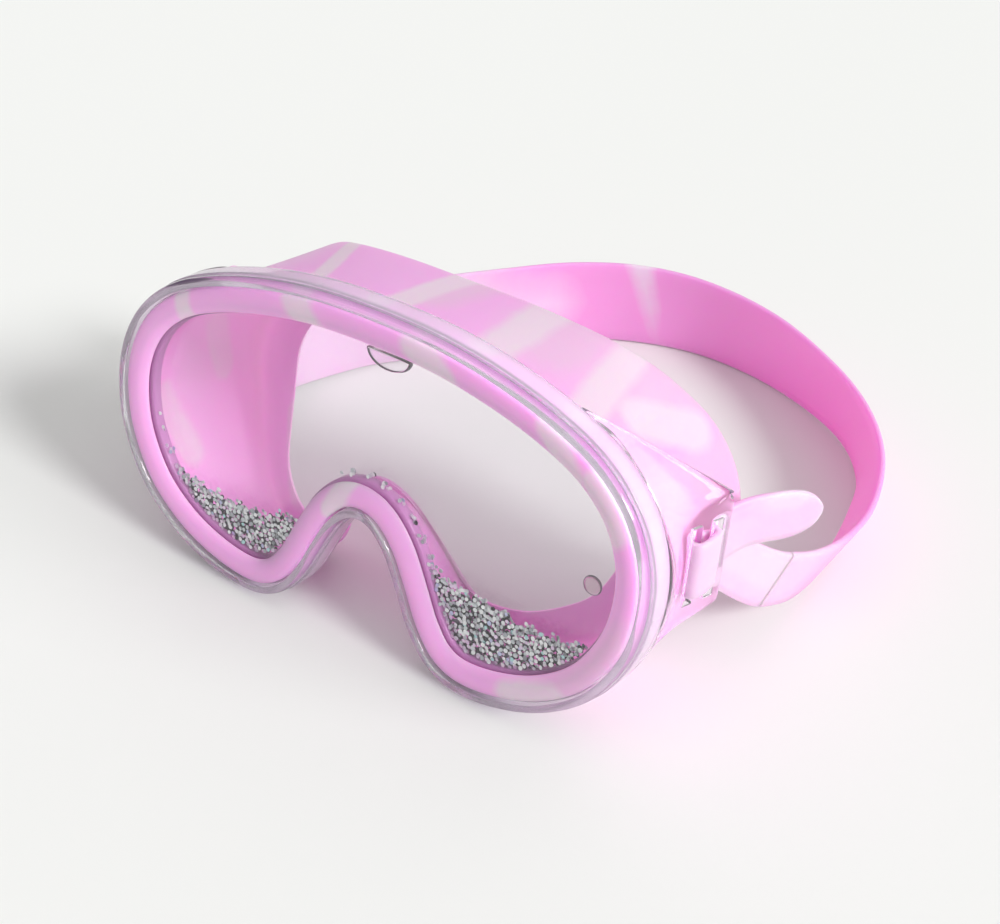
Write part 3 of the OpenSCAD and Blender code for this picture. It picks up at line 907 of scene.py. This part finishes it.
def strap_line(route, steps):
    """Centre points and width vectors along a strap on the table."""
    r = open_curve(np.array(route, float) + (0, STRAP_Y, 0, 0, 0), steps)
    middle = r[:, :3]
    along = along_line(middle)
    out = unit(np.cross(along, (0, 0, 1)))
    up = np.cross(out, along)
    lean = np.radians(r[:, 4])[:, None]
    return middle, (up * np.cos(lean) + out * np.sin(lean)) * r[:, 3:4]


def ribbon(name, middle, wide, material):
    """A piece of the strap along centre points, as wide as the width vectors."""
    along = along_line(middle)
    thick = unit(np.cross(wide, along)) * STRAP / 2
    sections = [
        np.array([middle[i] + w * wide[i] + t * thick[i] for w, t in PROFILE])
        for i in range(len(middle))
    ]
    return grid_bar(name, sections, material)


STEPS = 8
TAIL_DROOP = 2.5
TAIL_FROM = 0.78
TAIL_ROUND = 11
main_middle, main_wide = strap_line(STRAP_ROUTE, STEPS)
run_end = RUN_ROWS * STEPS


def side_strap(side):
    """One side's whole strap end as one line: run, loop and tail, with the cuts between them."""
    lead = 2 * STEPS
    far = run_end + lead + 1
    if side > 0:
        run_middle, run_wide = main_middle[:far][::-1], main_wide[:far][::-1]
    else:
        run_middle, run_wide = mirrored(main_middle[-far:]), mirrored(main_wide[-far:])
    keep = slice(0, None, STEPS)
    up = on_table((0, 0, 1)) - on_table((0, 0, 0))
    loop_middle = on_table(at_wing(np.array(LOOP_PATH) + (0, 0, STRAP_V)))
    tail_middle, tail_wide = strap_line(TAIL_ROUTE, 1)
    knots = np.vstack([run_middle[keep][:-1], loop_middle, tail_middle[1:]])
    wide = np.vstack([run_wide[keep][:-1], np.tile(up * END_HALF, (len(loop_middle), 1)), tail_wide[1:]])
    both = open_curve(np.hstack([knots, wide]), STEPS)[lead:]
    if side < 0:
        # The left tail droops a little towards its tip
        travel = np.arange(len(both)) / len(both)
        both[:, 2] -= TAIL_DROOP * np.clip((travel - TAIL_FROM) / (1 - TAIL_FROM), 0, 1) ** 2
    cut_run = RUN_ROWS * STEPS
    cut_tail = (RUN_ROWS + len(LOOP_PATH) - 1) * STEPS
    middle, wide = both[:, :3], both[:, 3:]
    return middle, wide, cut_run, cut_tail


def rounded_end(middle, wide, reach):
    """Narrows the width over the last reach millimetres to a half-oval end."""
    step = np.linalg.norm(np.diff(middle, axis=0), axis=1)
    left = np.concatenate([np.cumsum(step[::-1])[::-1], [0]])
    share = np.clip(1 - left / reach, 0, 0.999)
    return wide * np.sqrt(1 - share ** 2)[:, None]


# Painted glow: the strap's inner face glows more and more towards its right side
STRAP_GLOW_FADE = (-10, 70)
between = slice(run_end, -run_end)
head = ribbon("soft_head_strap", main_middle[between], main_wide[between], strap_silicone)
mark_painted_glow(mark_white_and_pale(head, STRAP_WHITES, STRAP_PALES), (0, 5, 20), STRAP_GLOW_FADE)
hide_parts("head_strap")
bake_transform(head)

for side, label in ((1, "right"), (-1, "left")):
    middle, wide, cut_run, cut_tail = side_strap(side)
    if side < 0:
        middle, wide = mirrored(middle), mirrored(wide)
    on_run, on_loop = slice(cut_run + 1), slice(cut_run, cut_tail + 1)
    run = ribbon(f"soft_run_{label}", middle[on_run], wide[on_run], strap_silicone)
    loop = ribbon(f"soft_loop_{label}", middle[on_loop], wide[on_loop], strap_silicone)
    tail_wide = rounded_end(middle[cut_tail:], wide[cut_tail:], TAIL_ROUND)
    tail = ribbon(f"soft_tail_{label}", middle[cut_tail:], tail_wide, strap_silicone)
    for piece, node in ((run, "strap_run_"), (loop, "strap_loop_"), (tail, "strap_tail_")):
        mark_painted_glow(mark_white_and_pale(piece, STRAP_WHITES, STRAP_PALES), (0, -30, 20), STRAP_GLOW_FADE)
        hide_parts(node + label)
    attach(loop, "mask")
    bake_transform(run)
    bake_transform(tail)

# ---- Stage, light and camera -----------------------------------------------------------

FLOOR = 4.0
floor_mesh = bpy.data.meshes.new("studio_floor")
floor_corners = [(-FLOOR, -FLOOR, 0), (FLOOR, -FLOOR, 0), (FLOOR, FLOOR, 0), (-FLOOR, FLOOR, 0)]
floor_mesh.from_pydata(floor_corners, [], [(0, 1, 2, 3)])
floor = bpy.data.objects.new("studio_floor", floor_mesh)
bpy.context.scene.collection.objects.link(floor)
floor_mesh.materials.append(floor_paint())


def studio_world():
    """Soft pale light from all round, brighter overhead."""
    world = bpy.data.worlds.new("studio")
    world.use_nodes = True
    tree = world.node_tree
    tree.nodes.clear()
    output = tree.nodes.new("ShaderNodeOutputWorld")
    light = tree.nodes.new("ShaderNodeBackground")
    place = tree.nodes.new("ShaderNodeTexCoord")
    split = tree.nodes.new("ShaderNodeSeparateXYZ")
    ramp = tree.nodes.new("ShaderNodeValToRGB")
    fill_ramp(ramp, [(0.02, (0.25, 0.25, 0.255, 1)), (0.75, (0.67, 0.67, 0.665, 1))])
    tree.links.new(place.outputs["Generated"], split.inputs[0])
    tree.links.new(split.outputs[2], ramp.inputs[0])
    tree.links.new(ramp.outputs[0], light.inputs[0])
    tree.links.new(light.outputs[0], output.inputs[0])
    bpy.context.scene.world = world


def add_sun(direction, strength, softness):
    """A soft sun that shines from a direction."""
    lamp = bpy.data.lights.new("key_sun", "SUN")
    lamp.energy = strength
    lamp.angle = math.radians(softness)
    holder = bpy.data.objects.new("key_sun", lamp)
    holder.rotation_euler = Vector(direction).to_track_quat("Z", "Y").to_euler()
    bpy.context.scene.collection.objects.link(holder)


studio_world()
add_sun((0.96, -0.14, 0.64), 1.95, 15)
add_sun((0.95, 0.25, 0.58), 0.75, 20)

AZIMUTH, ELEVATION = math.radians(35.88), math.radians(36)
EYE = Vector((0.2523, -0.368, 0.3321))
level = math.cos(ELEVATION)
back = Vector((math.sin(AZIMUTH) * level, -math.cos(AZIMUTH) * level, math.sin(ELEVATION)))
right = Vector((math.cos(AZIMUTH), math.sin(AZIMUTH), 0))
up = back.cross(right)
camera_data = bpy.data.cameras.new("camera")
camera_data.lens = 72
camera_data.sensor_width = 36
camera_data.sensor_fit = "HORIZONTAL"
camera_data.clip_start = 0.01
camera = bpy.data.objects.new("camera", camera_data)
camera.matrix_world = Matrix((right, up, back)).transposed().to_4x4()
camera.location = EYE
bpy.context.scene.collection.objects.link(camera)
bpy.context.scene.camera = camera
bpy.context.scene.view_settings.view_transform = "Standard"
